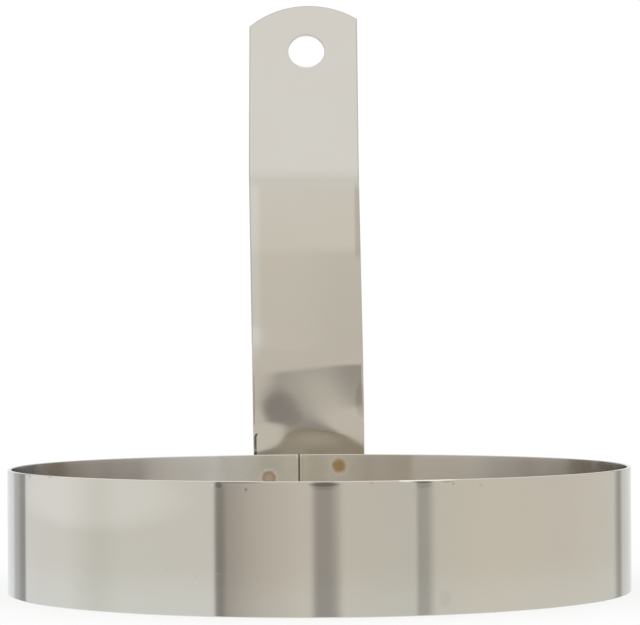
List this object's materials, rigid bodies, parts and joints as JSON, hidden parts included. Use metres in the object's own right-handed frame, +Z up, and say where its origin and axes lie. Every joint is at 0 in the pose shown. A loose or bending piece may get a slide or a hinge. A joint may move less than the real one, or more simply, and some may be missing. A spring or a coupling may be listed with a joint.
{
  "type": "egg ring",
  "caption": "Egg ring: a thin round steel band with a butt seam, and a tall bent strap handle spot-welded outside it, with a hanging hole near the strap's rounded end.",
  "frame": {"origin": "on the ring's axis, in the plane of its lower edge", "axes": "+Z up along the ring's axis, the handle at +Y, +X to the right when the handle is seen across the ring"},
  "size_m": [0.1518, 0.1823, 0.1543],
  "materials": {
    "band_steel": "bright rolled stainless strip with faint rolling lines",
    "strap_steel": "bright rolled stainless strip, a little hazier than the band",
    "weld_steel": "heat-tinted electrode marks of spot welds"
  },
  "bodies": {
    "root": {"ring_band": "band_steel", "handle_strap": "strap_steel", "weld_upper_left": "weld_steel", "weld_upper_right": "weld_steel", "weld_lower_left": "weld_steel", "weld_lower_right": "weld_steel"}
  },
  "joints": []
}
